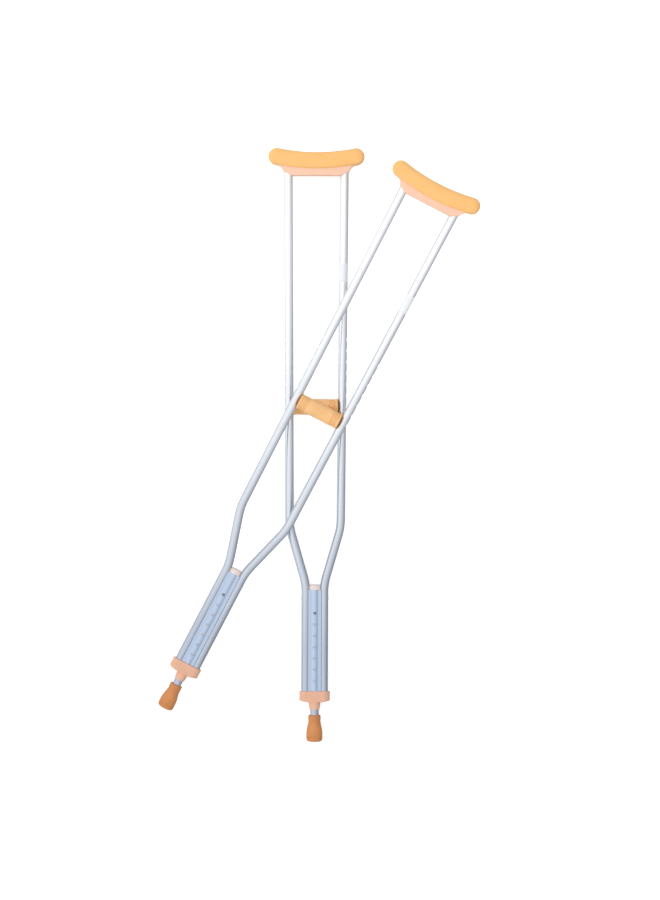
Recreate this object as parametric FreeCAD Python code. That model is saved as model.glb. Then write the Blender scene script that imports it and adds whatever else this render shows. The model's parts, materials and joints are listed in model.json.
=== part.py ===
import FreeCAD, Part
import math
import os

# A pair of underarm crutches lying flat, one straight and one slanted across it.
# Millimetres. +Z is up, +Y runs from the tip to the underarm pad of the straight crutch.
# Each crutch is built in its own frame: u across, v from the sole to the pad, w out of its plane.

# overall sizes
pad_top_v = 1311.0          # top of the pad at its centre, above the sole
tip_length = 59.0
tip_radius = 18.0
tip_corner_radius = 7.0
slant_deg = 27.42           # turn of the slanted crutch seen from above
slant_sole_x = -333.9       # sole of the slanted crutch, from the straight one's sole
slant_sole_y = 73.9

# bow tubes
tube_radius = 9.5
tube_wall = 1.2
seat_web = 1.15             # between the leg and each tube beside the channel
lower_bend_v = 350.0
upper_bend_v = 477.0
bow_spacing = 113.6         # between tube centres at the upper bend
splay_deg = 0.406           # each tube leans out above the upper bend
bend_radius = 130.0

# centre channel
channel_bottom_v = 93.0
channel_top_v = 338.0
channel_wall = 1.8
shoulder_inset = 5.65       # of the shoulders' edge from the tube's centre line
leg_clearance = 0.05
seat_clearance = 0.1

# adjustable leg
leg_radius = 9.5
leg_bottom_v = 9.5
leg_top_v = 325.0
hole_pitch = 25.0
hole_count = 7
button_v = 286.0
button_radius = 3.0
button_hole_radius = 3.4
button_reach = 3.5          # beyond the leg's surface

# collar
collar_bottom_v = 88.0
collar_top_v = 112.5
collar_rim = 4.35           # beyond the tubes, at each end
collar_skin = 4.5           # in front of and behind the tubes
nozzle_bottom_v = 72.3
collar_flat_half = 17.0        # beyond this the collar's underside slopes up
collar_slope_deg = 12.0

# underarm support and pad
support_drop = 52.5         # of the support's underside below the pad's top
support_flare = 12.16       # of its saddle beyond each tube
support_skin = 2.5          # in front of and behind the tubes
support_wall = 1.5          # outside the tubes
mouth_overlap = 3.5         # of the flat underside over each tube
mouth_rise = 10.0           # of the slanted mouth over each tube
socket_depth = 20.0
saddle_depth_in_pad = 8.0
pad_thickness = 37.4
pad_overhang = 6.0          # in front of and behind the support
pad_mid_radius = 440.0
pad_end_overhang = 22.8     # beyond the support's saddle
pad_edge_radius = 5.0

# handgrip
grip_v = 744.5
grip_end_radius = 17.9
grip_waist_radius = 17.5
core_radius = 11.0
groove_insets = (19.0, 15.0, 11.0, 7.0)    # ring grooves, from each end of the grip
bolt_radius = 2.5
bolt_hole_radius = 2.8
head_radius = 4.25          # bolt and nut heads sit inside the tubes
head_height = 5.0
head_hole_radius = 4.6      # in each tube's outer wall
washer_thickness = 1.0
side_gap = 0.3              # grip ends to tubes at the lowest hole
head_gap = 0.3              # washers to the tube's inner wall at the highest hole
crossing_gap = 0.3          # between the two grips where they cross

# fasteners
screw_radius = 1.9
screw_head_radius = 3.4
screw_head_height = 1.8
rivet_radius = 1.6
rivet_head_radius = 3.2
rivet_rows = (150.0, 318.0)
label_drop = 289.0          # below the pad's top
label_length = 42.0
label_thickness = 0.2

half_seat = leg_radius + seat_web + tube_radius
half_bow = bow_spacing / 2
splay = math.tan(math.radians(splay_deg))
tube_bore_radius = tube_radius - tube_wall
leg_bore_radius = leg_radius - tube_wall
channel_bore_radius = leg_radius + leg_clearance
ridge_radius = leg_radius + channel_wall
seat_radius = tube_radius + seat_clearance
shoulder_half_width = half_seat - shoulder_inset
shoulder_half_depth = tube_radius - 0.5
tip_neck_radius = leg_radius + 4.2
button_top_w = leg_radius + button_reach
collar_length = 2 * (half_seat + tube_radius + collar_rim)
collar_depth = 2 * (tube_radius + collar_skin)
nozzle_bottom_radius = leg_radius + channel_wall


def vec(u, v, w=0.0):
    return FreeCAD.Vector(u, v, w)


ALONG_U = vec(1, 0, 0)
ALONG_V = vec(0, 1, 0)
ALONG_W = vec(0, 0, 1)


def rod(radius, start, direction, length):
    return Part.makeCylinder(radius, length, start, direction)


def block(u, v, w):
    """Box between (low, high) pairs on each axis."""
    return Part.makeBox(u[1] - u[0], v[1] - v[0], w[1] - w[0], vec(u[0], v[0], w[0]))


def tube_u(v):
    """Distance of a bow tube's centre line from the middle plane above the upper bend."""
    return half_bow + (v - upper_bend_v) * splay


support_bottom_v = pad_top_v - support_drop
tube_top_v = support_bottom_v + socket_depth
label_v = pad_top_v - label_drop
support_half_top = tube_u(support_bottom_v) + tube_radius + support_flare
support_depth = 2 * (tube_radius + support_skin)
pad_depth = support_depth + 2 * pad_overhang
pad_half_length = support_half_top + pad_end_overhang
pad_centre_v = pad_top_v - pad_thickness / 2 + pad_mid_radius
grip_half_length = tube_u(grip_v) - tube_radius + 0.8    # its ends wrap a little round the tubes
groove_places = [grip_half_length - inset for inset in groove_insets]


def one_solid(shape):
    """The single solid of a boolean result, with split faces merged."""
    solids = shape.removeSplitter().Solids
    if len(solids) != 1:
        raise ValueError("expected one solid, found %d" % len(solids))
    return solids[0]


def edges_at(shape, test):
    return [edge for edge in shape.Edges if test(edge)]


def rounded_path(points, radius):
    """Wire through the points with a tangent arc at each inner one."""
    edges = []
    start = points[0]
    for before, corner, after in zip(points, points[1:], points[2:]):
        back = (before - corner).normalize()
        ahead = (after - corner).normalize()
        half_angle = back.getAngle(ahead) / 2
        reach = radius / math.tan(half_angle)
        middle = (back + ahead).normalize()
        centre = corner + middle * (radius / math.sin(half_angle))
        enter = corner + back * reach
        leave = corner + ahead * reach
        edges.append(Part.makeLine(start, enter))
        edges.append(Part.Arc(enter, centre - middle * radius, leave).toShape())
        start = leave
    edges.append(Part.makeLine(start, points[-1]))
    return Part.Wire(edges)


def tube_body(side, radius):
    """Solid rod along one bow tube's centre line."""
    points = [
        vec(side * half_seat, channel_bottom_v),
        vec(side * half_seat, lower_bend_v),
        vec(side * half_bow, upper_bend_v),
        vec(side * tube_u(tube_top_v), tube_top_v),
    ]
    circle = Part.Wire([Part.makeCircle(radius, points[0], ALONG_V)])
    return rounded_path(points, bend_radius).makePipeShell([circle], True, False)


def bow_tube(side):
    tube = tube_body(side, tube_radius).cut(tube_body(side, tube_radius - tube_wall))
    cuts = []
    for index in range(hole_count):
        v = grip_v + index * hole_pitch
        middle = vec(side * tube_u(v), v)
        cuts.append(rod(bolt_hole_radius, middle, -ALONG_U * side, 15))
        cuts.append(rod(head_hole_radius, middle, ALONG_U * side, 15))
    for v in rivet_rows:
        cuts.append(rod(rivet_radius, vec(side * half_seat - 15, v), ALONG_U, 30))
    for v, u, _ in screw_places():
        if u * side > 0:
            cuts.append(rod(screw_radius, vec(u, v, -12), ALONG_W, 6))
    return one_solid(tube.cut(cuts))


def screw_places():
    """(v, u, w of the back face) of the screws that hold the tubes in support and collar."""
    socket_v = support_bottom_v + 0.6 * socket_depth
    collar_v = (collar_bottom_v + collar_top_v) / 2 + 2
    places = []
    for side in (-1, 1):
        places.append((socket_v, side * tube_u(socket_v), -support_depth / 2))
        places.append((collar_v, side * half_seat, -collar_depth / 2))
    return places


def screws():
    """Pan-head screws through the back of the support and collar into the tubes."""
    made = []
    for v, u, back in screw_places():
        head = rod(screw_head_radius, vec(u, v, back), -ALONG_W, screw_head_height)
        rim = edges_at(head, lambda e: abs(e.BoundBox.ZMax - back + screw_head_height) < 0.01)
        head = head.makeFillet(1.0, rim[:1])
        slot = block((u - 2.4, u + 2.4), (v - 0.4, v + 0.4), (back - 3, back - 1.0))
        cross = block((u - 0.4, u + 0.4), (v - 2.4, v + 2.4), (back - 3, back - 1.0))
        shank = rod(screw_radius, vec(u, v, back), ALONG_W, -6.0 - back)
        made.append(one_solid(head.fuse(shank).cut([slot, cross])))
    return Part.makeCompound(made)


def rivets():
    """Flush-ended rivets from each tube's outer side into the channel wall."""
    made = []
    for side in (-1, 1):
        outer = side * (half_seat + tube_radius)
        for v in rivet_rows:
            head = rod(rivet_head_radius, vec(outer - side * 0.7, v), ALONG_U * side, 1.7)
            crown = edges_at(head, lambda e: abs(e.BoundBox.Center.x - outer - side) < 0.01
                             and e.BoundBox.YLength > 6)
            head = head.makeFillet(0.8, crown[:1])
            head = head.cut(rod(tube_radius, vec(side * half_seat, v - 10), ALONG_V, 20))
            inner = side * (channel_bore_radius + 0.05)
            shank = rod(rivet_radius, vec(inner, v), ALONG_U * side, abs(outer - inner) + 0.2)
            made.append(one_solid(head.fuse(shank)))
    return Part.makeCompound(made)


def channel():
    """Extruded channel: round ridge front and back, shoulders, and a seat for each tube."""
    length = channel_top_v - channel_bottom_v
    ridge = rod(ridge_radius, vec(0, channel_bottom_v), ALONG_V, length)
    span_v = (channel_bottom_v, channel_top_v)
    span_u = (-shoulder_half_width, shoulder_half_width)
    shoulders = block(span_u, span_v, (-shoulder_half_depth, shoulder_half_depth))
    cuts = [rod(channel_bore_radius, vec(0, channel_bottom_v - 1), ALONG_V, length + 2)]
    for side in (-1, 1):
        cuts.append(rod(seat_radius, vec(side * half_seat, channel_bottom_v - 1), ALONG_V, length + 2))
        for v in rivet_rows:
            cuts.append(rod(rivet_radius, vec(side * (channel_bore_radius - 0.5), v), ALONG_U * side, 5))
    for index in range(hole_count):
        v = button_v - index * hole_pitch
        cuts.append(rod(button_hole_radius, vec(0, v), ALONG_W, 20))
    return one_solid(ridge.fuse(shoulders).cut(cuts))


def cap():
    """Domed plastic plug on top of the channel, hollowed beside the tubes."""
    dome_height = 11.6
    ring = Part.Ellipse(vec(0, 0), ridge_radius + 2.9, ridge_radius).toShape()
    face = Part.Face(Part.Wire([ring]))
    face.rotate(vec(0, 0), ALONG_U, 90)
    face.translate(vec(0, channel_top_v))
    dome = face.extrude(ALONG_V * dome_height)
    top = edges_at(dome, lambda e: e.BoundBox.YMin > channel_top_v + dome_height - 0.01)
    dome = dome.makeFillet(6.5, top)
    plug = rod(channel_bore_radius, vec(0, channel_top_v - 8), ALONG_V, 8.5)
    beside = [tube_body(side, tube_radius + 0.2) for side in (-1, 1)]
    return one_solid(dome.cut(beside).fuse(plug))


def racetrack(half_span, radius, low, high):
    """Stadium-shaped slab across u, from v low to v high."""
    height = high - low
    ends = [rod(radius, vec(side * half_span, low), ALONG_V, height) for side in (-1, 1)]
    middle = block((-half_span, half_span), (low, high), (-radius, radius))
    return one_solid(middle.fuse(ends))


def collar():
    """Plastic foot of the channel with a nozzle that guides the leg."""
    half_span = collar_length / 2 - collar_depth / 2
    slab = racetrack(half_span, collar_depth / 2, collar_bottom_v, collar_top_v)
    run = collar_length / 2 - collar_flat_half + 1
    rise = run * math.tan(math.radians(collar_slope_deg))
    for side in (-1, 1):
        corners = [
            vec(side * collar_flat_half, collar_bottom_v, -20),
            vec(side * (collar_flat_half + run), collar_bottom_v, -20),
            vec(side * (collar_flat_half + run), collar_bottom_v + rise, -20),
        ]
        wedge = Part.Face(Part.makePolygon(corners + corners[:1])).extrude(ALONG_W * 40)
        slab = slab.cut(wedge)

    def on_rim(edge):
        box = edge.BoundBox
        runs_along_v = box.XLength < 0.01 and box.ZLength < 0.01
        is_ridge = box.XLength < 0.01 and box.YLength < 0.01
        return not runs_along_v and not is_ridge

    slab = slab.makeFillet(1.6, edges_at(slab, on_rim))
    nozzle = Part.makeCone(nozzle_bottom_radius, collar_depth / 2 - 0.3,
                           collar_bottom_v - nozzle_bottom_v + 2,
                           vec(0, nozzle_bottom_v), ALONG_V)
    body = slab.fuse(nozzle)
    depth = collar_top_v - channel_bottom_v + 5
    cuts = [
        rod(channel_bore_radius + 0.1, vec(0, nozzle_bottom_v - 5), ALONG_V, 60),
        rod(ridge_radius, vec(0, channel_bottom_v), ALONG_V, depth),
        block((-shoulder_half_width - 0.2, shoulder_half_width + 0.2),
              (channel_bottom_v, collar_top_v + 5),
              (-shoulder_half_depth, shoulder_half_depth)),
    ]
    for side in (-1, 1):
        cuts.append(rod(tube_radius, vec(side * half_seat, channel_bottom_v), ALONG_V, depth))
    for v, u, _ in screw_places():
        if v < support_bottom_v:
            cuts.append(rod(screw_radius, vec(u, v, -20), ALONG_W, 12))
    return one_solid(body.cut(cuts))


def leg():
    tube = rod(leg_radius, vec(0, leg_bottom_v), ALONG_V, leg_top_v - leg_bottom_v)
    bore = rod(leg_bore_radius, vec(0, leg_bottom_v - 1), ALONG_V, leg_top_v - leg_bottom_v + 2)
    hole = rod(button_radius + 0.05, vec(0, button_v), ALONG_W, 12)
    return one_solid(tube.cut([bore, hole]))


def leg_plug():
    stem = rod(leg_bore_radius, vec(0, leg_top_v - 10), ALONG_V, 10.5)
    head = rod(leg_radius - 0.1, vec(0, leg_top_v), ALONG_V, 2)
    return one_solid(stem.fuse(head))


def ribbon(points, thickness, half_width):
    """Bent strip following (v, w) points, extruded across u."""
    left = []
    right = []
    for index, (v, w) in enumerate(points):
        before = points[max(index - 1, 0)]
        after = points[min(index + 1, len(points) - 1)]
        run = math.hypot(after[0] - before[0], after[1] - before[1])
        normal = ((before[1] - after[1]) / run, (after[0] - before[0]) / run)
        left.append((v + normal[0] * thickness / 2, w + normal[1] * thickness / 2))
        right.append((v - normal[0] * thickness / 2, w - normal[1] * thickness / 2))
    outline = [vec(-half_width, v, w) for v, w in left + right[::-1]]
    face = Part.Face(Part.makePolygon(outline + outline[:1]))
    return face.extrude(ALONG_U * (2 * half_width))


def snap_spring():
    """Folded leaf spring inside the leg, under the button."""
    fold_v = button_v - 46
    front = leg_bore_radius - 3.1
    rear = leg_bore_radius - 1.1
    arms = [
        (button_v + 5, front),
        (button_v - 5, front),
        (fold_v + 4, 1.6),
    ]
    fold = []
    for step in range(1, 6):
        angle = math.radians(90 + step * 30)
        fold.append((fold_v + 4 + 1.8 * math.cos(angle), -0.2 + 1.8 * math.sin(angle)))
    back = [
        (fold_v + 4, -2.0),
        (button_v - 5, -rear),
        (button_v + 5, -rear),
    ]
    return ribbon(arms + fold + back, 0.6, 3.0)


def snap_button():
    flange_w = leg_bore_radius - 2.7
    stem = rod(button_radius, vec(0, button_v, flange_w + 0.4), ALONG_W, button_top_w - flange_w - 0.4)
    top = edges_at(stem, lambda e: e.BoundBox.ZMin > button_top_w - 0.01)
    stem = stem.makeFillet(2.2, top)
    flange = rod(4.2, vec(0, button_v, flange_w), ALONG_W, 1.2)
    return one_solid(stem.fuse(flange))


def tip():
    """Flared rubber ferrule with a socket for the leg and ring grooves in the sole."""
    socket = leg_radius
    flare = Part.BSplineCurve()
    flare.interpolate(Points=[
        vec(tip_radius, 14),
        vec(tip_radius - 0.15, 20),
        vec(tip_radius - 0.9, 29),
        vec(tip_radius - 2.3, 38),
        vec(tip_radius - 3.6, 43.5),
        vec(tip_neck_radius - 0.2, 47),
    ], InitialTangent=ALONG_V, FinalTangent=vec(-0.25, 1))
    inner = tip_radius - tip_corner_radius
    corner = vec(inner + tip_corner_radius * math.sin(math.radians(45)),
                 tip_corner_radius - tip_corner_radius * math.cos(math.radians(45)))
    points = [
        vec(tip_neck_radius - 0.2, 47),
        vec(tip_neck_radius, 47.4),
        vec(tip_neck_radius, tip_length - 1.2),
        vec(tip_neck_radius - 1.2, tip_length),
        vec(socket, tip_length),
        vec(socket, leg_bottom_v - 1.5),
        vec(0, leg_bottom_v - 1.5),
        vec(0, 0),
        vec(inner, 0),
    ]
    edges = [Part.makeLine(start, end) for start, end in zip(points, points[1:])]
    edges.append(Part.Arc(vec(inner, 0), corner, vec(tip_radius, tip_corner_radius)).toShape())
    edges.append(Part.makeLine(vec(tip_radius, tip_corner_radius), vec(tip_radius, 14)))
    edges.append(flare.toShape())
    outline = Part.Wire(Part.__sortEdges__(edges))
    body = Part.Face(outline).revolve(vec(0, 0), ALONG_V, 360)
    body = body if body.ShapeType == "Solid" else body.Solids[0]
    grooves = []
    for groove_radius in (4.5, 7.5):
        ring = rod(groove_radius + 1.5, vec(0, -1), ALONG_V, 2.5)
        grooves.append(ring.cut(rod(groove_radius, vec(0, -2), ALONG_V, 5)))
    return one_solid(body.cut(grooves))


def tip_washer():
    return rod(leg_radius - 0.1, vec(0, leg_bottom_v - 1.5), ALONG_V, 1.5)


def arc_point(radius, angle):
    """Point in the crutch plane on a circle about the pad's centre of curvature."""
    return vec(radius * math.sin(angle), pad_centre_v - radius * math.cos(angle))


def pad():
    """Curved underarm cushion, with a pocket beneath for the support's saddle."""
    half = pad_thickness / 2
    end_angle = math.asin((pad_half_length - half) / pad_mid_radius)
    top = pad_mid_radius - half
    bottom = pad_mid_radius + half
    edges = [Part.Arc(arc_point(top, -end_angle), arc_point(top, 0), arc_point(top, end_angle))]
    edges.append(Part.Arc(arc_point(bottom, -end_angle), arc_point(bottom, 0),
                          arc_point(bottom, end_angle)))
    for side in (-1, 1):
        middle = arc_point(pad_mid_radius, side * end_angle)
        along = vec(side * math.cos(end_angle), math.sin(end_angle))
        edges.append(Part.Arc(arc_point(top, side * end_angle), middle + along * half,
                              arc_point(bottom, side * end_angle)))
    shapes = [edge.toShape() for edge in edges]
    outline = Part.Wire(Part.__sortEdges__(shapes))
    face = Part.Face(outline)
    face.translate(vec(0, 0, -pad_depth / 2))
    body = face.extrude(ALONG_W * pad_depth)
    rims = edges_at(body, lambda e: e.BoundBox.ZLength < 0.01)
    body = body.makeFillet(pad_edge_radius, rims)
    reach = support_half_top + 0.2
    pocket = block((-reach, reach), (support_bottom_v, pad_top_v), (-support_depth / 2 - 0.2,
                                                                   support_depth / 2 + 0.2))
    saddle_top = pad_mid_radius + pad_thickness / 2 - saddle_depth_in_pad - 0.2
    keep = rod(saddle_top, vec(0, pad_centre_v, -30), ALONG_W, 60)
    return one_solid(body.cut(pocket.cut(keep)))


def support():
    """Moulded bracket that joins the tube tops and carries the pad."""
    underside = pad_mid_radius + pad_thickness / 2
    saddle_top = underside - saddle_depth_in_pad
    shoulder_v = pad_centre_v - math.sqrt(underside ** 2 - support_half_top ** 2)
    top_v = pad_centre_v - math.sqrt(saddle_top ** 2 - support_half_top ** 2)
    mouth_in = tube_u(support_bottom_v) - tube_radius + mouth_overlap
    mouth_out = tube_u(support_bottom_v) + tube_radius + support_wall
    mouth_v = support_bottom_v + mouth_rise
    waist_u = mouth_out + 0.35 * (support_half_top - mouth_out)
    waist_v = mouth_v + 0.55 * (shoulder_v - mouth_v)
    edges = [
        Part.makeLine(vec(-mouth_in, support_bottom_v), vec(mouth_in, support_bottom_v)),
        Part.Arc(vec(-support_half_top, top_v), arc_point(saddle_top, 0),
                 vec(support_half_top, top_v)).toShape(),
    ]
    for side in (-1, 1):
        outer = vec(side * mouth_out, mouth_v)
        waist = vec(side * waist_u, waist_v)
        shoulder = vec(side * support_half_top, shoulder_v)
        edges.append(Part.makeLine(vec(side * mouth_in, support_bottom_v), outer))
        edges.append(Part.Arc(outer, waist, shoulder).toShape())
        edges.append(Part.makeLine(shoulder, vec(side * support_half_top, top_v)))
    outline = Part.Wire(Part.__sortEdges__(edges))
    face = Part.Face(outline)
    face.translate(vec(0, 0, -support_depth / 2))
    body = face.extrude(ALONG_W * support_depth)
    corners = edges_at(body, lambda e: e.BoundBox.ZLength > support_depth - 0.01
                       and e.BoundBox.YMax < mouth_v + 0.01)
    body = body.makeFillet(3.0, corners)
    low_rims = edges_at(body, lambda e: e.BoundBox.ZLength < 0.01
                        and e.BoundBox.YMax < shoulder_v + 0.01)
    body = body.makeFillet(2.0, low_rims)
    cuts = []
    for side in (-1, 1):
        start = vec(side * tube_u(support_bottom_v - 20), support_bottom_v - 20)
        along = vec(side * splay, 1)
        cuts.append(rod(tube_radius, start, along, (socket_depth + 20) * math.hypot(1, splay)))
    for v, u, _ in screw_places():
        if v > support_bottom_v:
            cuts.append(rod(screw_radius, vec(u, v, -20), ALONG_W, 12))
    return one_solid(body.cut(cuts))


def grip_clearance(gap):
    """Rods along the tubes beside the grip, larger than the tubes by the gap."""
    rods = []
    for side in (-1, 1):
        start = vec(side * tube_u(grip_v - 60), grip_v - 60)
        rods.append(rod(tube_radius + gap, start, vec(side * splay, 1), 120))
    return rods


def grip_core():
    reach = grip_half_length + 0.5
    core = rod(core_radius, vec(-reach, grip_v), ALONG_U, 2 * reach)
    bore = rod(bolt_hole_radius, vec(-reach - 10, grip_v), ALONG_U, 2 * reach + 20)
    return one_solid(core.cut([bore] + grip_clearance(side_gap)))


def grip_sleeve():
    """Soft grip: slim waist, ring grooves and a lip at each end, hollow ends at the tubes."""
    half_length = grip_half_length
    waist_end = groove_places[0] - 2
    waist = Part.BSplineCurve()
    waist.interpolate([
        vec(-waist_end, grip_end_radius - 0.3),
        vec(-waist_end / 2, grip_waist_radius + 0.1),
        vec(0, grip_waist_radius),
        vec(waist_end / 2, grip_waist_radius + 0.1),
        vec(waist_end, grip_end_radius - 0.3),
    ])
    profile = [vec(waist_end, grip_end_radius - 0.3)]
    for groove in groove_places:
        profile += [
            vec(groove - 0.8, grip_end_radius - 0.3),
            vec(groove - 0.5, grip_end_radius - 1.2),
            vec(groove + 0.5, grip_end_radius - 1.2),
            vec(groove + 0.8, grip_end_radius - 0.3),
        ]
    profile += [
        vec(half_length - 4.6, grip_end_radius - 0.3),
        vec(half_length - 4.2, grip_end_radius),
        vec(half_length - 1, grip_end_radius),
        vec(half_length, grip_end_radius - 1),
        vec(half_length, core_radius),
    ]
    edges = [waist.toShape()]
    mirrored = [vec(-point.x, point.y) for point in profile]
    for chain in (profile, mirrored):
        for start, end in zip(chain, chain[1:]):
            edges.append(Part.makeLine(start, end))
    edges.append(Part.makeLine(profile[-1], mirrored[-1]))
    face = Part.Face(Part.Wire(Part.__sortEdges__(edges)))
    body = face.revolve(vec(0, 0), ALONG_U, 360)
    body = body if body.ShapeType == "Solid" else body.Solids[0]
    body.translate(vec(0, grip_v))
    return one_solid(body.cut(grip_clearance(side_gap)))


def washer_seat_u():
    """Inner face of the grip's washers, clear of the tube walls up to the highest hole."""
    highest = grip_v + (hole_count - 1) * hole_pitch
    bore_reach = math.sqrt(tube_bore_radius ** 2 - head_radius ** 2)
    return tube_u(highest) - bore_reach + head_gap


def grip_washers():
    made = []
    for side in (-1, 1):
        disc = rod(head_radius, vec(side * washer_seat_u(), grip_v), ALONG_U * side, washer_thickness)
        bore = rod(bolt_hole_radius, vec(side * (washer_seat_u() - 1), grip_v), ALONG_U * side, 4)
        made.append(one_solid(disc.cut(bore)))
    return Part.makeCompound(made)


def hex_socket(start, direction, across, depth):
    corners = [
        vec(0, across / 2 * math.cos(math.radians(60 * step)), across / 2 * math.sin(math.radians(60 * step)))
        for step in range(7)
    ]
    return Part.Face(Part.makePolygon([start + corner for corner in corners])).extrude(direction * depth)


def grip_bolt():
    """Socket-head bolt through both tubes and the grip, its head inside the +u tube."""
    under_head = washer_seat_u() + washer_thickness + 0.1
    end = -under_head - head_height + 1.2
    shank = rod(bolt_radius, vec(end, grip_v), ALONG_U, under_head - end + 0.5)
    head = rod(head_radius, vec(under_head, grip_v), ALONG_U, head_height)
    crown = edges_at(head, lambda e: e.BoundBox.XMin > under_head + head_height - 0.01)
    head = head.makeChamfer(0.5, crown)
    socket = hex_socket(vec(under_head + head_height - 2.5, grip_v), ALONG_U, 4.6, 4)
    return one_solid(shank.fuse(head).cut(socket))


def grip_nut():
    """Closed barrel nut on the other end of the bolt, inside the -u tube."""
    start = -(washer_seat_u() + washer_thickness + 0.1)
    body = rod(head_radius, vec(start, grip_v), -ALONG_U, head_height)
    crown = edges_at(body, lambda e: e.BoundBox.XMax < start - head_height + 0.01)
    body = body.makeChamfer(0.5, crown)
    bore = rod(bolt_radius + 0.05, vec(start + 1, grip_v), -ALONG_U, head_height)
    slot = block((start - head_height - 1, start - head_height + 0.6),
                 (grip_v - 0.6, grip_v + 0.6), (-8, 8))
    return one_solid(body.cut([bore, slot]))


def label():
    """Plain size label wrapped round the right-hand tube."""
    start = vec(tube_u(label_v), label_v)
    along = vec(splay, 1)
    outer = rod(tube_radius + label_thickness, start, along, label_length)
    inner = rod(tube_radius, start - along * 5, along, label_length + 10)
    return one_solid(outer.cut(inner))


def crutch():
    return {
        "pad": pad(),
        "support": support(),
        "screws": screws(),
        "left_tube": bow_tube(-1),
        "right_tube": bow_tube(1),
        "rivets": rivets(),
        "channel": channel(),
        "cap": cap(),
        "collar": collar(),
        "label": label(),
        "leg": leg(),
        "leg_plug": leg_plug(),
        "snap_spring": snap_spring(),
        "snap_button": snap_button(),
        "tip": tip(),
        "tip_washer": tip_washer(),
        "grip_core": grip_core(),
        "grip_sleeve": grip_sleeve(),
        "grip_washers": grip_washers(),
        "grip_bolt": grip_bolt(),
        "grip_nut": grip_nut(),
    }


def slanted_placement(tip_shape):
    """Lays the second crutch on its tip and across the first one's grip."""
    height = tip_radius
    for _ in range(3):
        rise = tip_radius + 2 * grip_end_radius + crossing_gap - height
        lean = math.degrees(math.asin(rise / grip_v))
        tilt = FreeCAD.Placement(vec(0, 0), FreeCAD.Rotation(ALONG_U, lean))
        turn = FreeCAD.Placement(vec(0, 0), FreeCAD.Rotation(ALONG_W, -slant_deg))
        laid = turn.multiply(tilt)
        tilted = tip_shape.copy()
        tilted.Placement = laid
        height = -tilted.optimalBoundingBox(False).ZMin
    shift = FreeCAD.Placement(vec(slant_sole_x, slant_sole_y, height), FreeCAD.Rotation())
    return shift.multiply(laid)


def main():
    os.makedirs("parts", exist_ok=True)
    single = crutch()
    flat = FreeCAD.Placement(vec(0, 0, tip_radius), FreeCAD.Rotation())
    laid = {"under": flat, "over": slanted_placement(single["tip"])}
    placed = {}
    for prefix, placement in laid.items():
        for name, shape in single.items():
            copy = shape.copy()
            copy.transformShape(placement.toMatrix(), True)
            placed[prefix + "_" + name] = copy
    box = Part.makeCompound(list(placed.values())).optimalBoundingBox(False)
    origin = vec(-(box.XMin + box.XMax) / 2, -(box.YMin + box.YMax) / 2, -box.ZMin)
    for name, shape in placed.items():
        shape.translate(origin)
        shape.exportStep("parts/%s.step" % name)
    print("origin shift", origin)
    print("slanted placement", laid["over"])


main()
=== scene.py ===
import json
import math

import bmesh
import bpy
from mathutils import Matrix, Vector


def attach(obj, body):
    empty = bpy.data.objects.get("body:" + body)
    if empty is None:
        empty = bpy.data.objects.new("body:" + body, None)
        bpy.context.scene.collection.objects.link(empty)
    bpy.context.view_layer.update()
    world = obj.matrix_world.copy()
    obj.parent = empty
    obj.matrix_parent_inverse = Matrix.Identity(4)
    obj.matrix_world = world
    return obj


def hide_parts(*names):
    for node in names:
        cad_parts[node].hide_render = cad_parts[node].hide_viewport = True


# A pair of underarm crutches lying flat, one straight and one slanted across it, seen from above.
# Every new piece is made in one crutch's own frame, in metres: u across, v from the sole to the
# pad, w out of its plane. crutch_frame gives the matrix that lays it in the pair's frame.

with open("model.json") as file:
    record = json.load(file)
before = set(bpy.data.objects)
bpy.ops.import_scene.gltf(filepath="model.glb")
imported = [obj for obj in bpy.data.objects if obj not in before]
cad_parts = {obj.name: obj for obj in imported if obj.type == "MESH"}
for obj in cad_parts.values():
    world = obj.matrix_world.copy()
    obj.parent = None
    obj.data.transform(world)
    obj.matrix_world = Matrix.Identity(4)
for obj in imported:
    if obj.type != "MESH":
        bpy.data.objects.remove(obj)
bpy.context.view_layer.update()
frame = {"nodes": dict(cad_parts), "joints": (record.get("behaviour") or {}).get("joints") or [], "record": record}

MM = 0.001

# sizes that the solids have, in metres
PAD_TOP_V = 1.311
PAD_THICKNESS = 0.0374
PAD_DEPTH = 0.036
PAD_MID_RADIUS = 0.440
PAD_HALF_LENGTH = 0.1068
PAD_CENTRE_V = PAD_TOP_V - PAD_THICKNESS / 2 + PAD_MID_RADIUS
GRIP_V = 0.7445
GRIP_RADIUS = 0.0179
GRIP_WAIST = 0.0175
GRIP_HALF_LENGTH = 0.049995
GRIP_BORE = 0.0110
GRIP_GROOVES = (0.031, 0.035, 0.039, 0.043)
TUBE_RADIUS = 0.0095
TUBE_HALF_SPACING_AT_GRIP = 0.05870
GRIP_END_GAP = 0.0003
TIP_RADIUS = 0.018
TIP_NECK_RADIUS = 0.0137
TIP_CORNER_RADIUS = 0.007
TIP_LENGTH = 0.059
LEG_RADIUS = 0.0095
LEG_BOTTOM_V = 0.0095

# cushion: powers below 1 square its section, and 1 leaves it round
TOP_POWERS = (0.74, 0.60)
UNDERSIDE_POWERS = (0.42, 0.42)
PAD_STEPS = 64
PAD_END_STEPS = 14
PAD_END_TAPER = 0.55               # of the depth at the ends, against the thickness
PAD_TIP_SHARE = 1e-4               # of the section left at each end's very tip
SAME_PLACE = 1e-5                  # how near an end's plane the points of its rim lie

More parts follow.
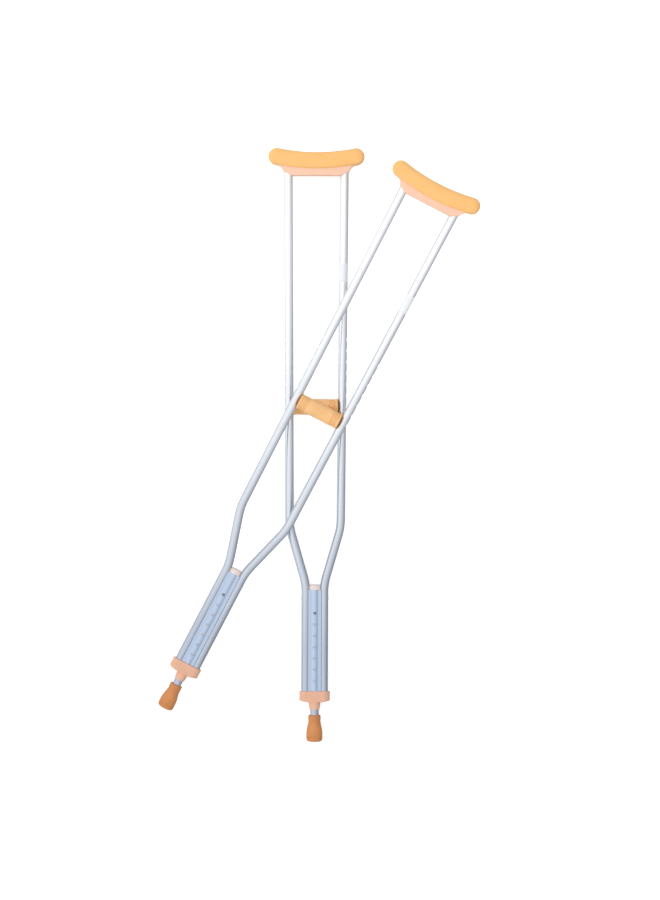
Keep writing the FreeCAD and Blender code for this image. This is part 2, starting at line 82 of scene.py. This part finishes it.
# handgrip cover: a groove's outline is given in shares of its half width and its depth
GROOVE_HALF_WIDTH = 1.1 * MM
GROOVE_DEPTH = 1.4 * MM
GROOVE_OUTLINE = ((-1, 0), (-0.6, 0.35), (-0.3, 1), (0.3, 1), (0.6, 0.35), (1, 0))
RING_SET_BACK = 0.3 * MM           # of the rings, from the lip's full radius
WAIST_STEPS = 8
WAIST_TO_GROOVES = 2 * MM
LIP_START = 4.6 * MM               # the lip's places are measured back from the cover's end
LIP_FULL = 4.2 * MM
LIP_ROUNDING = 1.2 * MM
LIP_BEVEL = 0.4 * MM
GRIP_BORE_GAP = 0.2 * MM
GRIP_STEPS = 80

# rubber tip, measured up from the sole
SOLE_GROOVES = (4.5 * MM, 7.5 * MM)
SOLE_GROOVE_SIZE = 1.5 * MM        # both its width and its depth
SOLE_EDGE = (0.2 * MM, 0.3 * MM)   # how wide and how high its broken edges are
SKIRT_RINGS = (9.5 * MM, 12.5 * MM)
RING_HALF_WIDTH = 0.5 * MM
RING_HALF_FLOOR = 0.2 * MM
RING_DEPTH = 0.5 * MM
FLARE_LOW = 14 * MM
FLARE_HIGH = 46.5 * MM
FLARE_STEPS = 14
FLARE_POWER = 1.35
WAIST_SET_IN = 0.3 * MM
BEAD_LOW = 47.0 * MM
BEAD_FULL = 47.8 * MM
BEAD_ROUNDING = 1.4 * MM
TIP_GRIPS_LEG_BY = 0.1 * MM
MOUTH_WIDENING = 0.6 * MM
MOUTH_HEIGHTS = (0.5 * MM, 1.5 * MM)
BORE_PAST_LEG = 2 * MM             # how far the bore goes on below the leg
LUG_BAND = (9.4 * MM, 12.5 * MM)   # radii between which the sole is cut into lugs
LUG_FACE = 0.4 * MM                # what lies lower than this is the sole's face
LUG_CUT = 0.8 * MM
TIP_STEPS = 96

# finishes
DRAWN = (1.0, 0.012, 1.0)          # grain drawn out along the crutch
PAINTED_SHADE_DARKEST_V = 0.20                 # where on the crutch the painted shade on the metal is darkest and coolest
# where the painted shade on the metal has faded out, leaving the lit colour
PAINTED_SHADE_GONE_V = 1.10
TONE_CLOUDS = 0.12

# floor, light and camera
FLOOR_SIZE = 8.0
FLOOR_TONE = 0.80
FLOOR_GLOW = 0.55
STUDIO_STRENGTH = 1.35
STUDIO_SEEN = (0.9, 0.9, 0.9)
OPEN_LIGHT = (1.0, 1.0, 1.0)
SHADE = (0.27, 0.28, 0.30)
SHADE_SIDE = (0.70, 0.0, -0.72)    # towards the dark flag, low on the right
SHADE_FROM = -1.28                 # how far a direction leans that way where the shade starts
KEY_STRENGTH = 0.25
KEY_WIDTH = math.radians(35)
KEY_SIDE = (-0.9, 0.7, 1.6)        # towards the light, on the upper left
CAMERA_HEIGHT = 6.0
CAMERA_VIEW = 2.0025               # length of floor from the bottom of the view to its top
CAMERA_ROLL = math.radians(0.21)
VIEW_FROM_SOLE = (0.0325, 0.6487, 0.0)

SIDES = ("under", "over")


# ---------------------------------------------------------------- places

def crutch_frame(side):
    """Matrix from a crutch's own frame to the pair's, read from its joints and its sole mount."""
    joints = {joint["name"]: joint for joint in frame["joints"]}
    mounts = {mount["name"]: mount for mount in frame["record"]["mounts"]}
    v = -Vector(joints[side + "_leg_slide"]["axis"]).normalized()
    w = -Vector(joints[side + "_button_press"]["axis"]).normalized()
    u = v.cross(w).normalized()
    turned = Matrix((u, v, w)).transposed().to_4x4()
    return Matrix.Translation(Vector(mounts[side + "_tip_sole"]["pos_m"])) @ turned


def finish_piece(bm, name, side, body, material, replaced):
    """Places a bmesh made in the crutch's frame as a smooth piece that rides on a body.

    body and replaced are names within the crutch; the piece takes the place of that CAD node.
    """
    bmesh.ops.remove_doubles(bm, verts=bm.verts, dist=1e-6)
    bmesh.ops.recalc_face_normals(bm, faces=bm.faces)
    bmesh.ops.transform(bm, matrix=crutch_frame(side), verts=bm.verts)
    mesh = bpy.data.meshes.new(name)
    bm.to_mesh(mesh)
    bm.free()
    mesh.materials.append(material)
    mesh.shade_smooth()
    piece = bpy.data.objects.new(name, mesh)
    bpy.context.scene.collection.objects.link(piece)
    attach(piece, side + "_" + body)
    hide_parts(side + "_" + replaced)
    return piece


def lathe(points, centre, axis, steps):
    """Bmesh of an outline turned once about an axis; the outline's ends lie on the axis or meet."""
    bm = bmesh.new()
    verts = [bm.verts.new(point) for point in points]
    edges = [bm.edges.new(pair) for pair in zip(verts, verts[1:])]
    bmesh.ops.spin(bm, geom=verts + edges, cent=centre, axis=axis, angle=math.tau,
                   steps=steps, use_merge=True, use_duplicate=False)
    return bm


def arc(centre, radius, start, end, steps):
    """Points on a circle between two angles in degrees, both ends included."""
    angles = [math.radians(start + (end - start) * step / steps) for step in range(steps + 1)]
    return [(centre[0] + radius * math.cos(a), centre[1] + radius * math.sin(a)) for a in angles]


# ---------------------------------------------------------------- materials

class Finish:
    """Shader nodes of one material, with patterns that run in the crutch's own frame."""

    def __init__(self, name, side, base, roughness, metallic=0.0):
        self.material = bpy.data.materials.new(side + "_" + name)
        self.material.use_nodes = True
        self.tree = self.material.node_tree
        self.shader = self.tree.nodes["Principled BSDF"]
        self.shader.inputs["Base Color"].default_value = (*base, 1.0)
        self.shader.inputs["Roughness"].default_value = roughness
        self.shader.inputs["Metallic"].default_value = metallic
        own = self.add("ShaderNodeMapping", vector_type="TEXTURE")
        place = crutch_frame(side)
        own.inputs["Location"].default_value = place.translation
        own.inputs["Rotation"].default_value = place.to_euler()
        self.link(self.add("ShaderNodeTexCoord").outputs["Object"], own.inputs["Vector"])
        self.coords = own.outputs["Vector"]

    def add(self, kind, **settings):
        node = self.tree.nodes.new(kind)
        for key, value in settings.items():
            if key in node.inputs:
                node.inputs[key].default_value = value
            else:
                setattr(node, key, value)
        return node

    def link(self, source, target):
        self.tree.links.new(source, target)

    def stretched(self, stretch):
        if not stretch:
            return self.coords
        mapping = self.add("ShaderNodeMapping", Scale=stretch)
        self.link(self.coords, mapping.inputs["Vector"])
        return mapping.outputs["Vector"]

    def noise(self, scale, detail=3.0, roughness=0.5, stretch=None):
        node = self.add("ShaderNodeTexNoise", Scale=scale, Detail=detail, Roughness=roughness)
        self.link(self.stretched(stretch), node.inputs["Vector"])
        return node.outputs["Fac"]

    def cells(self, scale):
        node = self.add("ShaderNodeTexVoronoi", Scale=scale, Randomness=1.0)
        self.link(self.coords, node.inputs["Vector"])
        return node.outputs["Distance"]

    def ramp(self, source, low, high, start=0.3, end=0.7):
        node = self.add("ShaderNodeMapRange")
        node.inputs["From Min"].default_value = start
        node.inputs["From Max"].default_value = end
        node.inputs["To Min"].default_value = low
        node.inputs["To Max"].default_value = high
        self.link(source, node.inputs["Value"])
        return node.outputs["Result"]

    def math(self, operation, first, second):
        node = self.add("ShaderNodeMath", operation=operation)
        for socket, value in zip(node.inputs, (first, second)):
            if isinstance(value, (int, float)):
                socket.default_value = value
            else:
                self.link(value, socket)
        return node.outputs["Value"]

    def mottle(self, source, dark, light, start=0.35, end=0.65):
        """Base colour that wanders between two colours."""
        node = self.add("ShaderNodeValToRGB")
        node.color_ramp.elements[0].color = (*dark, 1.0)
        node.color_ramp.elements[0].position = start
        node.color_ramp.elements[1].color = (*light, 1.0)
        node.color_ramp.elements[1].position = end
        self.link(source, node.inputs["Fac"])
        self.link(node.outputs["Color"], self.shader.inputs["Base Color"])

    def rough(self, source, low, high):
        self.link(self.ramp(source, low, high), self.shader.inputs["Roughness"])

    def bump(self, source, distance, strength=1.0):
        node = self.add("ShaderNodeBump", Strength=strength, Distance=distance)
        self.link(source, node.inputs["Height"])
        self.link(node.outputs["Normal"], self.shader.inputs["Normal"])

    def set(self, name, value):
        self.shader.inputs[name].default_value = value


def anodised(name, side, painted_shade_tone, bright, roughness):
    """Satin anodised aluminium: drawn grain, faint clouds, and painted shade that darkens and cools the colour
    towards the tip.
    """
    made = Finish(name, side, bright, roughness, metallic=1.0)
    split = made.add("ShaderNodeSeparateXYZ")
    made.link(made.coords, split.inputs["Vector"])
    # painted shade: darker and cooler from the pad end down towards the tip, with random clouds of tone over it
    along = made.ramp(split.outputs["Y"], 0.0, 1.0, PAINTED_SHADE_DARKEST_V, PAINTED_SHADE_GONE_V)
    clouds = made.noise(11.0, 4.0)
    drift = made.math("MULTIPLY", made.math("SUBTRACT", clouds, 0.5), TONE_CLOUDS)
    shade_and_clouds = made.math("ADD", along, drift)
    made.mottle(shade_and_clouds, painted_shade_tone, bright, 0.0, 1.0)
    marks = made.noise(420.0, 5.0, 0.6, stretch=(1.0, 0.05, 1.0))
    made.rough(made.math("ADD", made.math("MULTIPLY", marks, 0.6), made.math("MULTIPLY", clouds, 0.4)),
               roughness - 0.04, roughness + 0.08)
    made.bump(made.noise(2600.0, 3.0, stretch=DRAWN), 0.000012, 0.25)
    return made.material


def moulded(name, side, dark, light, roughness):
    """Injection-moulded plastic with a fine spark-eroded skin and slow colour clouds."""
    made = Finish(name, side, light, roughness)
    made.mottle(made.noise(22.0, 4.0), dark, light)
    made.rough(made.noise(90.0, 3.0), roughness - 0.06, roughness + 0.06)
    made.bump(made.noise(1500.0, 2.0), 0.00003, 0.4)
    made.set("IOR", 1.47)
    made.set("Subsurface Weight", 0.06)
    made.set("Subsurface Radius", (0.004, 0.002, 0.001))
    return made.material


def foam_skin(name, side, dark, light, roughness):
    """Closed-cell foam with a moulded skin: fine pores over slow unevenness."""
    made = Finish(name, side, light, roughness)
    made.mottle(made.noise(16.0, 5.0), dark, light)
    pitted = made.ramp(made.cells(620.0), 0.0, 1.0, 0.0, 0.45)
    lumps = made.math("MULTIPLY", made.noise(70.0, 3.0), 2.0)
    made.bump(made.math("ADD", pitted, lumps), 0.00012, 0.45)
    made.rough(made.noise(60.0, 4.0), roughness - 0.07, roughness + 0.07)
    made.set("IOR", 1.45)
    made.set("Sheen Weight", 0.10)
    made.set("Sheen Roughness", 0.5)
    return made.material


def grip_rubber(name, side, dark, light, roughness):
    """Soft moulded grip cover with a fine pebbled skin, polished a little by hands."""
    made = Finish(name, side, light, roughness)
    made.mottle(made.noise(30.0, 4.0), dark, light)
    made.rough(made.noise(45.0, 3.0), roughness - 0.12, roughness + 0.05)
    made.bump(made.cells(900.0), 0.00010, 0.5)
    made.set("IOR", 1.48)
    return made.material


def tip_rubber(name, side, dark, light, roughness):
    """Firm floor-gripping rubber, scuffed, with a dusty bloom."""
    made = Finish(name, side, light, roughness)
    made.mottle(made.noise(45.0, 6.0, 0.6), dark, light, 0.3, 0.75)
    made.rough(made.noise(120.0, 4.0), roughness - 0.08, roughness + 0.12)
    made.bump(made.noise(800.0, 3.0), 0.00008, 0.5)
    made.set("IOR", 1.5)
    return made.material


def plated(name, side, colour, roughness):
    """Plated or bare steel with turning marks."""
    made = Finish(name, side, colour, roughness, metallic=1.0)
    made.rough(made.noise(260.0, 3.0), roughness - 0.05, roughness + 0.1)
    made.bump(made.noise(1500.0, 2.0), 0.00001, 0.3)
    return made.material


def crutch_finishes(side):
    """Every material of one crutch."""
    return {
        # tube, channel and leg: the darker, cooler colour towards the tip is painted shade; the leg's darker
        # colour is painted shade too
        "tube": anodised("satin_tube", side, (0.45, 0.50, 0.58), (0.95, 0.96, 0.98), 0.20),
        "channel": anodised("cool_channel", side, (0.44, 0.53, 0.67), (0.56, 0.64, 0.76), 0.24),
        "leg": anodised("leg_painted_shade", side, (0.48, 0.49, 0.56), (0.58, 0.59, 0.64), 0.28),
        "rivet": plated("rivet_metal", side, (0.80, 0.81, 0.84), 0.32),
        "zinc": plated("zinc_steel", side, (0.62, 0.63, 0.65), 0.30),
        "bright": plated("bright_steel", side, (0.66, 0.67, 0.70), 0.20),
        # the button's dark colour is painted shadow, standing in for the shadow the button casts below itself
        "button": plated("button_painted_shade", side, (0.26, 0.27, 0.29), 0.30),
        "pink": moulded("pink_moulding", side, (0.90, 0.56, 0.39), (0.95, 0.61, 0.44), 0.42),
        "milky": moulded("milky_moulding", side, (0.74, 0.64, 0.59), (0.82, 0.70, 0.65), 0.40),
        "salmon": moulded("salmon_moulding", side, (0.72, 0.40, 0.27), (0.80, 0.46, 0.32), 0.42),
        # the core's orange-brown is its own colour, made darker as painted shade for the shade at the grip cover's
        # ends
        "brown": moulded("brown_core", side, (0.46, 0.25, 0.12), (0.55, 0.30, 0.14), 0.5),
        "grey": moulded("grey_moulding", side, (0.30, 0.30, 0.31), (0.36, 0.36, 0.37), 0.5),
        "label": moulded("plain_label", side, (0.84, 0.85, 0.88), (0.89, 0.90, 0.92), 0.35),
        "cushion": foam_skin("orange_foam", side, (0.93, 0.50, 0.165), (0.96, 0.55, 0.195), 0.62),
        "grip": grip_rubber("orange_grip", side, (0.86, 0.49, 0.21), (0.95, 0.56, 0.25), 0.60),
        "tip": tip_rubber("brown_rubber", side, (0.51, 0.195, 0.062), (0.67, 0.27, 0.085), 0.66),
    }


NODE_FINISHES = {
    "support": "pink",
    "screws": "zinc",
    "left_tube": "tube",
    "right_tube": "tube",
    "rivets": "rivet",
    "channel": "channel",
    "cap": "milky",
    "collar": "salmon",
    "label": "label",
    "leg": "leg",
    "leg_plug": "grey",
    "snap_spring": "zinc",
    "snap_button": "button",
    "tip_washer": "zinc",
    "grip_core": "brown",
    "grip_washers": "grey",
    "grip_bolt": "bright",
    "grip_nut": "bright",
}


def dress_cad_nodes(side, finishes):
    """Gives its finish to each CAD node that no new piece replaces."""
    for part, finish in NODE_FINISHES.items():
        node = frame["nodes"][side + "_" + part]
        node.data.materials.clear()
        node.data.materials.append(finishes[finish])


# ---------------------------------------------------------------- soft pieces

def cushion_section(across, deep):
    """Squares a unit circle's point: a full, rounded top and a flatter, sharper underside."""
    across_power, deep_power = TOP_POWERS if across > 0 else UNDERSIDE_POWERS
    return (math.copysign(abs(across) ** across_power, across),
            math.copysign(abs(deep) ** deep_power, deep))


def make_pad(side, finishes):
    """Saddle-shaped foam cushion: a full rounded section bent along the underarm curve."""
    bm = bmesh.new()
    ring = bmesh.ops.create_circle(bm, cap_ends=False, segments=PAD_STEPS, radius=1.0)["verts"]
    half_thick = PAD_THICKNESS / 2
    half_deep = PAD_DEPTH / 2
    for vert in ring:
        across, deep = cushion_section(vert.co.y, vert.co.x)
        vert.co = Vector((0, PAD_CENTRE_V - PAD_MID_RADIUS + across * half_thick, deep * half_deep))
    centre = Vector((0, PAD_CENTRE_V, 0))
    end_angle = math.asin((PAD_HALF_LENGTH - half_thick) / PAD_MID_RADIUS)
    bmesh.ops.rotate(bm, verts=bm.verts, cent=centre, matrix=Matrix.Rotation(-end_angle, 3, "Z"))
    bmesh.ops.spin(bm, geom=bm.edges[:], cent=centre, axis=(0, 0, 1),
                   angle=2 * end_angle, steps=PAD_STEPS, use_duplicate=False)
    for end in (-1, 1):
        middle = centre + Vector((end * math.sin(end_angle), -math.cos(end_angle), 0)) * PAD_MID_RADIUS
        along = Vector((end * math.cos(end_angle), math.sin(end_angle), 0))
        rim = [edge for edge in bm.edges if edge.is_boundary
               and abs((edge.verts[0].co - middle).dot(along)) < SAME_PLACE
               and abs((edge.verts[1].co - middle).dot(along)) < SAME_PLACE]
        radial = Vector((-along.y, along.x, 0))
        for step in range(1, PAD_END_STEPS + 1):
            before = math.radians(90 * (step - 1) / PAD_END_STEPS)
            after = math.radians(90 * step / PAD_END_STEPS)
            moved = bmesh.ops.extrude_edge_only(bm, edges=rim)["geom"]
            verts = [item for item in moved if isinstance(item, bmesh.types.BMVert)]
            rim = [item for item in moved if isinstance(item, bmesh.types.BMEdge)]
            thin = max(math.cos(after), PAD_TIP_SHARE) / max(math.cos(before), PAD_TIP_SHARE)
            narrow = thin ** PAD_END_TAPER
            for vert in verts:
                offset = vert.co - middle
                across = radial * offset.dot(radial) * thin
                deep = Vector((0, 0, offset.z * narrow))
                reach = along * half_thick * math.sin(after)
                vert.co = middle + across + deep + reach
    bmesh.ops.holes_fill(bm, edges=[edge for edge in bm.edges if edge.is_boundary])
    pad = finish_piece(bm, side + "_cushion", side, "frame", finishes["cushion"], "pad")


def make_grip(side, finishes):
    """Handgrip cover: waisted, ringed near both ends, hollowed where it meets the tubes."""
    waist_end = GRIP_GROOVES[0] - WAIST_TO_GROOVES
    ring_top = GRIP_RADIUS - RING_SET_BACK
    profile = []
    for step in range(WAIST_STEPS + 1):
        share = step / WAIST_STEPS
        profile.append((waist_end * share, GRIP_WAIST + (ring_top - GRIP_WAIST) * share ** 2))
    for groove in GRIP_GROOVES:
        for across, depth in GROOVE_OUTLINE:
            profile.append((groove + across * GROOVE_HALF_WIDTH, ring_top - depth * GROOVE_DEPTH))
    end = GRIP_HALF_LENGTH
    profile += [
        (end - LIP_START, ring_top),
        (end - LIP_FULL, GRIP_RADIUS),
        (end - LIP_ROUNDING, GRIP_RADIUS),
        (end - LIP_BEVEL, GRIP_RADIUS - LIP_BEVEL),
        (end, GRIP_RADIUS - LIP_ROUNDING),
        (end, GRIP_BORE + GRIP_BORE_GAP),
    ]
    outline = [(-u, r) for u, r in reversed(profile[1:])] + profile
    outline.append(outline[0])
    points = [(u, GRIP_V + r, 0) for u, r in outline]
    bm = lathe(points, (0, GRIP_V, 0), (1, 0, 0), GRIP_STEPS)
    hollow = TUBE_RADIUS + GRIP_END_GAP
    for vert in bm.verts:
        if abs(vert.co.z) < hollow:
            limit = TUBE_HALF_SPACING_AT_GRIP - math.sqrt(hollow ** 2 - vert.co.z ** 2)
            if abs(vert.co.x) > limit:
                vert.co.x = math.copysign(limit, vert.co.x)
    finish_piece(bm, side + "_grip_cover", side, "handgrip", finishes["grip"],
                 "grip_sleeve")


def cut_lugs(bm):
    """Cuts the sole's outer band away for two facets in every four, which leaves lugs."""
    inner, outer = LUG_BAND
    for vert in bm.verts:
        radius = math.hypot(vert.co.x, vert.co.z)
        if inner < radius < outer and vert.co.y < LUG_FACE:
            facet = round(math.atan2(vert.co.z, vert.co.x) / math.tau * TIP_STEPS)
            if facet % 4 < 2:
                vert.co.y += LUG_CUT


def make_tip(side, finishes):
    """Rubber ferrule: beaded neck, flared skirt with two fine rings, and a lugged sole."""
    edge_width, edge_height = SOLE_EDGE
    outline = [(0, 0)]
    for start in SOLE_GROOVES:
        end = start + SOLE_GROOVE_SIZE
        outline += [(start - edge_width, 0), (start, edge_height), (start, SOLE_GROOVE_SIZE),
                    (end, SOLE_GROOVE_SIZE), (end, edge_height), (end + edge_width, 0)]
    corner = TIP_RADIUS - TIP_CORNER_RADIUS
    outline += arc((corner, TIP_CORNER_RADIUS), TIP_CORNER_RADIUS, -90, 0, 8)
    ring_floor = TIP_RADIUS - RING_DEPTH
    for ring in SKIRT_RINGS:
        outline += [(TIP_RADIUS, ring - RING_HALF_WIDTH), (ring_floor, ring - RING_HALF_FLOOR),
                    (ring_floor, ring + RING_HALF_FLOOR), (TIP_RADIUS, ring + RING_HALF_WIDTH)]
    waist = TIP_NECK_RADIUS - WAIST_SET_IN
    for step in range(FLARE_STEPS + 1):
        share = step / FLARE_STEPS
        drop = (TIP_RADIUS - waist) * (1 - math.cos(math.pi * share ** FLARE_POWER)) / 2
        outline.append((TIP_RADIUS - drop, FLARE_LOW + (FLARE_HIGH - FLARE_LOW) * share))
    outline += [(waist, BEAD_LOW), (TIP_NECK_RADIUS, BEAD_FULL)]
    outline += arc((TIP_NECK_RADIUS - BEAD_ROUNDING, TIP_LENGTH - BEAD_ROUNDING), BEAD_ROUNDING, 0, 90, 4)
    bore = LEG_RADIUS - TIP_GRIPS_LEG_BY
    bore_end = LEG_BOTTOM_V - BORE_PAST_LEG
    shallow, deep = MOUTH_HEIGHTS
    outline += [(LEG_RADIUS + MOUTH_WIDENING, TIP_LENGTH),
                (LEG_RADIUS + TIP_GRIPS_LEG_BY, TIP_LENGTH - shallow),
                (bore, TIP_LENGTH - deep), (bore, bore_end), (0, bore_end)]
    bm = lathe([(r, v, 0) for r, v in outline], (0, 0, 0), (0, 1, 0), TIP_STEPS)
    cut_lugs(bm)
    finish_piece(bm, side + "_rubber_tip", side, "lower_leg", finishes["tip"], "tip")


# ---------------------------------------------------------------- floor, light, camera

def make_floor():
    """Pale light-table floor, bright enough to leave only a trace of shadow."""
    bm = bmesh.new()
    bmesh.ops.create_grid(bm, x_segments=1, y_segments=1, size=FLOOR_SIZE)
    mesh = bpy.data.meshes.new("floor")
    bm.to_mesh(mesh)
    bm.free()
    material = bpy.data.materials.new("pale_floor")
    material.use_nodes = True
    shader = material.node_tree.nodes["Principled BSDF"]
    shader.inputs["Base Color"].default_value = (FLOOR_TONE, FLOOR_TONE, FLOOR_TONE, 1.0)
    shader.inputs["Roughness"].default_value = 0.9
    shader.inputs["Specular IOR Level"].default_value = 0.0
    shader.inputs["Emission Color"].default_value = (1.0, 1.0, 1.0, 1.0)
    shader.inputs["Emission Strength"].default_value = FLOOR_GLOW
    mesh.materials.append(material)
    floor = bpy.data.objects.new("floor", mesh)
    bpy.context.scene.collection.objects.link(floor)
    floor.visible_glossy = False
    floor.visible_diffuse = False


def make_world():
    """Soft light tent: bright from the left and above, flagged low on the right."""
    world = bpy.data.worlds.new("studio")
    world.use_nodes = True
    tree = world.node_tree
    background = tree.nodes["Background"]

    def add(kind, **settings):
        node = tree.nodes.new(kind)
        for key, value in settings.items():
            setattr(node, key, value)
        return node

    direction = add("ShaderNodeTexCoord").outputs["Generated"]
    lean = add("ShaderNodeVectorMath", operation="DOT_PRODUCT")
    lean.inputs[1].default_value = SHADE_SIDE
    tree.links.new(direction, lean.inputs[0])
    flag = add("ShaderNodeMapRange")
    for name, value in (("From Min", SHADE_FROM), ("From Max", 1.0), ("To Min", 0.0), ("To Max", 1.0)):
        flag.inputs[name].default_value = value
    tree.links.new(lean.outputs["Value"], flag.inputs["Value"])

    def mixed(factor, first, second):
        """Mix of two colours, each a tuple or a socket; 6, 7 and 2 are the node's colour sockets."""
        node = add("ShaderNodeMix", data_type="RGBA")
        tree.links.new(factor, node.inputs["Factor"])
        for socket, value in ((node.inputs[6], first), (node.inputs[7], second)):
            if isinstance(value, tuple):
                socket.default_value = (*value, 1.0)
            else:
                tree.links.new(value, socket)
        return node.outputs[2]

    shaded = mixed(flag.outputs["Result"], OPEN_LIGHT, SHADE)
    seen = add("ShaderNodeLightPath").outputs["Is Camera Ray"]
    tree.links.new(mixed(seen, shaded, STUDIO_SEEN), background.inputs["Color"])
    background.inputs["Strength"].default_value = STUDIO_STRENGTH
    bpy.context.scene.world = world


def make_light():
    """Soft, wide key light from the upper left, which leaves no highlight of its own."""
    data = bpy.data.lights.new("key", "SUN")
    data.energy = KEY_STRENGTH
    data.angle = KEY_WIDTH
    key = bpy.data.objects.new("key", data)
    key.rotation_euler = Vector(KEY_SIDE).to_track_quat("Z", "Y").to_euler()
    key.visible_glossy = False
    bpy.context.scene.collection.objects.link(key)
    bpy.context.scene.view_settings.view_transform = "Standard"
    bpy.context.scene.view_settings.look = "None"


def make_camera():
    """Straight above the middle of the pair, with the top of the view towards the pads."""
    view_centre = crutch_frame("under").translation + Vector(VIEW_FROM_SOLE)
    data = bpy.data.cameras.new("camera")
    data.sensor_width = 36.0
    data.lens = data.sensor_width * CAMERA_HEIGHT / CAMERA_VIEW
    data.clip_end = 50.0
    camera = bpy.data.objects.new("camera", data)
    camera.location = view_centre + Vector((0, 0, CAMERA_HEIGHT))
    camera.rotation_euler = (0, 0, CAMERA_ROLL)
    bpy.context.scene.collection.objects.link(camera)
    bpy.context.scene.camera = camera


for crutch_side in SIDES:
    crutch_materials = crutch_finishes(crutch_side)
    dress_cad_nodes(crutch_side, crutch_materials)
    make_pad(crutch_side, crutch_materials)
    make_grip(crutch_side, crutch_materials)
    make_tip(crutch_side, crutch_materials)
make_floor()
make_world()
make_light()
make_camera()
